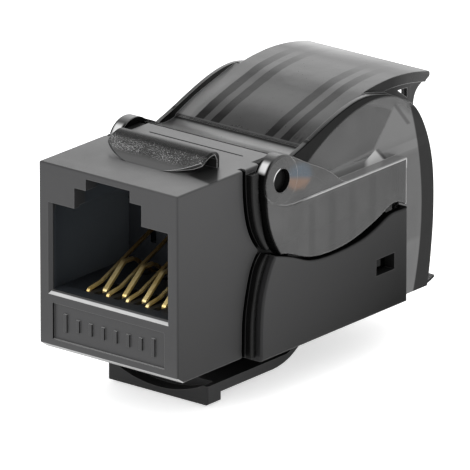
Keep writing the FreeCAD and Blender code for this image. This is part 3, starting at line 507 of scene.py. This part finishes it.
    # painted light on the ledge band of the side wall
    ledge = t.math("MULTIPLY", arch, t.math("MULTIPLY", t.band(t.z, 3.80, 4.62, 0.10), t.remap(t.y, 17.0, 19.0, 0.0, 1.0)))
    col = t.mix(t.math("MULTIPLY", ledge, 0.60), col, grey(0.125))
    # painted light on the upward faces of the shelf
    shelf = t.math("MULTIPLY", t.remap(nz, 0.5, 0.8, 0.0, 1.0), t.math("MULTIPLY", t.band(t.z, 3.5, 4.6, 0.05), t.remap(ax, 6.2, 6.3, 0.0, 1.0)))
    col = t.mix(shelf, col, grey(0.20))
    # skirt: dark rim
    zz = t.math("ADD", t.z, 1.2)
    skirt = t.math("SUBTRACT", t.y, t.math("MULTIPLY_ADD", t.math("MULTIPLY", zz, zz), -0.0200, 33.18))
    inner = t.math("MULTIPLY", t.math("MULTIPLY", arch, t.remap(skirt, -1.78, -1.64, 0.0, 1.0)), t.remap(t.z, 8.2, 7.4, 0.0, 1.0))
    rear = t.math("MULTIPLY", inner, t.remap(t.y, 28.3, 28.5, 0.0, 1.0))
    col = t.mix(t.math("MULTIPLY", rear, 0.9), col, grey(0.008))
    # painted shade on the snap tabs and the inside of the lower wall
    tab = t.math("MULTIPLY", t.remap(ax, 7.75, 7.70, 0.0, 1.0), t.math("MULTIPLY", t.remap(t.z, 0.6, 0.2, 0.0, 1.0), t.remap(t.y, 28.4, 28.2, 0.0, 1.0)))
    col = t.mix(tab, col, grey(0.003))
    # painted glint: a bright triangle on the wall above the ledge
    up_l = t.math("SUBTRACT", t.math("MULTIPLY_ADD", t.math("SUBTRACT", t.y, 24.18), 0.463, 4.47), t.z)
    up_r = t.math("SUBTRACT", t.math("MULTIPLY_ADD", t.math("SUBTRACT", t.y, 25.39), -0.95, 5.05), t.z)
    tri = t.math("MINIMUM", up_l, up_r)
    facet_glint = t.math("MULTIPLY", t.remap(tri, -0.06, 0.10, 0.0, 1.0, True), t.math("MULTIPLY", arch, t.band(t.z, 3.86, 5.3, 0.06)))
    facet_glint = t.math("MULTIPLY", facet_glint, t.remap(t.y, 23.9, 24.5, 0.0, 1.0))
    col = t.mix(facet_glint, col, grey(0.40))
    # painted highlight lines along the wall's outer ledge edge and a rear upright edge
    brow = t.math("MULTIPLY", t.band(t.z, 3.76, 3.90, 0.02), t.remap(t.y, 14.2, 16.0, 0.0, 1.0))
    brow = t.math("MAXIMUM", brow, t.math("MULTIPLY", t.band(t.y, 27.94, 28.12, 0.02), t.band(t.z, -0.1, 3.9, 0.05)))
    brow = t.math("MULTIPLY", brow, t.remap(ax, 8.05, 8.12, 0.0, 1.0))
    col = t.mix(t.math("MULTIPLY", brow, 0.8), col, grey(0.50))
    e1 = t.math("SUBTRACT", t.math("MULTIPLY_ADD", t.y, 0.758, t.math("MULTIPLY", t.z, 0.652)), 26.52)
    d1 = t.math("ABSOLUTE", e1)
    d2 = t.math("ABSOLUTE", t.math("SUBTRACT", t.math("MULTIPLY_ADD", t.y, 0.715, t.math("MULTIPLY", t.z, 0.699)), 21.78))
    line = t.math("MAXIMUM", t.math("MULTIPLY", t.remap(d1, 0.08, 0.24, 1.0, 0.0), t.band(t.z, 6.1, 8.5, 0.1)),
                  t.math("MULTIPLY", t.remap(d2, 0.08, 0.24, 1.0, 0.0), t.band(t.z, 3.9, 5.0, 0.1)))
    col = t.mix(t.math("MULTIPLY", t.math("MULTIPLY", line, arch), 0.7), col, grey(0.014))
    # wall: the wire block behind it reads as soft upright bars
    wall = t.math("MULTIPLY", t.remap(anx, 0.6, 0.9, 0.0, 1.0), t.band(t.z, -4.0, 3.6, 0.3))
    bars = t.remap(t.math("SINE", t.math("MULTIPLY_ADD", t.y, 2.42, -36.6)), 0.1, 0.95, 0.0, 1.0, True)
    bars = t.math("MULTIPLY", bars, t.band(t.y, 14.2, 24.5, 0.3))
    col = t.mix(t.math("MULTIPLY", wall, t.remap(t.y, 13.5, 18.5, 0.0, 0.30)), col, grey(0.014))
    col = t.mix(t.math("MULTIPLY", t.math("MULTIPLY", wall, bars), 0.38), col, grey(0.014))
    # blue over orange label by the eye
    dy = t.math("DIVIDE", t.math("SUBTRACT", t.y, 14.2), 2.1)
    dz = t.math("DIVIDE", t.math("SUBTRACT", t.math("MULTIPLY_ADD", t.y, 0.12, t.z), 7.65), 1.35)
    rr = t.math("ADD", t.math("MULTIPLY", dy, dy), t.math("MULTIPLY", dz, dz))
    rr = t.math("MULTIPLY_ADD", t.math("SUBTRACT", t.noise(1.1, 2.0, 0.5), 0.5), 0.5, rr)
    spot = t.math("MULTIPLY", t.remap(rr, 0.25, 1.0, 1.0, 0.0, True), t.remap(anx, 0.6, 0.9, 0.0, 1.0))
    split = t.remap(t.math("MULTIPLY_ADD", t.y, 0.27, t.z), 9.35, 9.95, 0.0, 1.0, True)
    tint = t.mix(split, (0.185, 0.110, 0.072), (0.062, 0.086, 0.112))
    col = t.mix(t.math("MULTIPLY", spot, 0.80), col, tint)
    # painted highlight along the edges
    plain = t.math("SUBTRACT", 1.0, t.math("MAXIMUM", t.math("MAXIMUM", t.math("MULTIPLY", nose, 0.7), tab), t.math("MAXIMUM", rear, seam)))
    plain = t.math("MULTIPLY", plain, t.math("SUBTRACT", 1.0, t.math("MULTIPLY", top, t.remap(t.y, 16.0, 17.5, 1.0, 0.3))))
    e = t.math("MULTIPLY", edges(t, 0.10 * MM, 0.86, 0.995), plain)
    col = t.mix(t.math("MULTIPLY", e, 0.50), col, grey(0.40))
    lw = t.node("ShaderNodeLayerWeight")
    lw.inputs["Blend"].default_value = 0.30
    alpha = t.math("MULTIPLY_ADD", lw.outputs["Facing"], 0.20, CAP_ALPHA)
    solid = t.math("MAXIMUM", t.math("MAXIMUM", rib, nose), t.math("MAXIMUM", under_shade, rear))
    solid = t.math("MAXIMUM", t.math("MAXIMUM", solid, seam), t.math("MAXIMUM", bore_shade, tab))
    solid = t.math("MAXIMUM", solid, t.math("MAXIMUM", tail, t.math("MAXIMUM", facet_glint, streak)))
    back = t.math("MULTIPLY", roof, t.remap(t.y, 23.0, 26.0, 0.0, 1.0))
    alpha = t.math("MULTIPLY_ADD", t.math("MAXIMUM", t.math("MAXIMUM", solid, back), t.math("MAXIMUM", ledge, t.math("MULTIPLY", painted_pale, 0.9))), 0.20, alpha)
    alpha = t.math("MULTIPLY_ADD", t.math("SUBTRACT", cloud, 0.5), 0.08, alpha, clamp=True)
    r = t.math("MULTIPLY_ADD", grain, 0.10, 0.14)
    ripple = t.noise(0.8, 2.0, 0.5)
    h = t.math("MULTIPLY_ADD", ripple, 5.0, cloud)
    n = t.bump(h, 0.006 * MM, 0.5, normal=t.bevel(0.07 * MM))
    r = t.mixf(t.math("MULTIPLY", top, 0.8), r, 0.30)
    m = t.principled(col, r, n)
    dull = t.math("MAXIMUM", solid, t.math("MULTIPLY", roof, t.remap(t.y, 17.0, 20.0, 0.7, 0.35)))
    t.put(t.bsdf.inputs["Specular IOR Level"], t.mixf(dull, 0.34, 0.06))
    t.put(t.bsdf.inputs["Alpha"], alpha)
    return m


FRONT_BASE, REAR_BASE, CAP_BASE, CAP_ALPHA, SPEC = 0.040, 0.027, 0.050, 0.80, 0.30
MATS = {
    "front_housing": front_plastic("front_plastic"),
    "rear_housing": rear_plastic("rear_plastic"),
    "hinged_cap": smoked("smoked_cap"),
    "contact_carrier": insert_plastic("insert_black", (0.010, 0.012, 0.015)),
    "terminal_block": insert_plastic("block_grey", (0.030, 0.031, 0.033)),
    "circuit_board": board("board_green"),
}
GILT, TIN, LABEL = gilt("gilt_wire"), tinned("tinned_sheet"), label("colour_label")
for name, ob in NODES.items():
    if name.startswith("spring_contact"):
        m = GILT
    elif name.startswith("idc_terminal"):
        m = TIN
    elif name.startswith("wiring_label"):
        m = LABEL
    else:
        m = MATS[name]
    ob.data.materials.clear()
    ob.data.materials.append(m)


# ----------------------------------------------------------- camera and stage
AZ, EL, DIST, LENS = math.radians(39.0), math.radians(19.2), 0.9, 852.75
TARGET = Vector((-0.00004, 0.01615, -0.00134))
back = Vector((math.sin(AZ) * math.cos(EL), -math.cos(AZ) * math.cos(EL), math.sin(EL)))
cam_data = bpy.data.cameras.new("camera")
cam_data.lens = LENS
cam_data.sensor_width = 36.0
cam_data.clip_start = 0.01
cam = bpy.data.objects.new("camera", cam_data)
bpy.context.scene.collection.objects.link(cam)
cam.matrix_world = Matrix.Translation(TARGET + back * DIST) @ back.to_track_quat("Z", "Y").to_matrix().to_4x4()
bpy.context.scene.camera = cam

low = min(as_lists(CAD_BOX)[0][2], as_lists(CAD_BOX)[1][2])
me = bpy.data.meshes.new("floor")
s = 3.0
me.from_pydata([(-s, -s, 0), (s, -s, 0), (s, s, 0), (-s, s, 0)], [], [(0, 1, 2, 3)])
floor = bpy.data.objects.new("floor", me)
bpy.context.scene.collection.objects.link(floor)
floor.location = (0, 0, low - 0.0002)
tf = Tree("floor_paper")
fn = tf.noise(0.02, 3.0, 0.5)
tf.principled(tf.mix(tf.remap(fn, 0.3, 0.7, 0.0, 1.0), (0.90, 0.90, 0.90), (0.92, 0.92, 0.92)), 0.85,
              Emission_Color=(1.0, 1.0, 1.0, 1.0), Emission_Strength=0.55)
floor.data.materials.append(tf.mat)
floor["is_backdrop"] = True

world = bpy.data.worlds.new("studio")
bpy.context.scene.world = world
world.use_nodes = True
bg = world.node_tree.nodes["Background"]
bg.inputs[0].default_value = (1.0, 1.0, 1.0, 1.0)
bg.inputs[1].default_value = 1.15


def area(name, az, el, dist, size, power, size_y=None, aim=(0.0, 0.015, 0.0)):
    """A soft box at azimuth az (0 is in front of the socket, 90 to its right) and
    elevation el, aimed at the jack."""
    a, e = math.radians(az), math.radians(el)
    d = Vector((math.sin(a) * math.cos(e), -math.cos(a) * math.cos(e), math.sin(e)))
    L = bpy.data.lights.new(name, "AREA")
    L.shape = "RECTANGLE"
    L.size = size
    L.size_y = size_y or size
    L.energy = power
    o = bpy.data.objects.new(name, L)
    bpy.context.scene.collection.objects.link(o)
    o.matrix_world = Matrix.Translation(Vector(aim) + d * dist) @ d.to_track_quat("Z", "Y").to_matrix().to_4x4()
    return o


area("back_soft", 219, 27, 0.6, 0.26, 0.34, 0.24)
area("front_fill", -15, 25, 0.9, 0.6, 1.5)

sc = bpy.context.scene
sc.view_settings.view_transform = "Standard"
sc.view_settings.look = "None"

{"cad": as_lists(CAD_BOX), "visual": as_lists(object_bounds())}
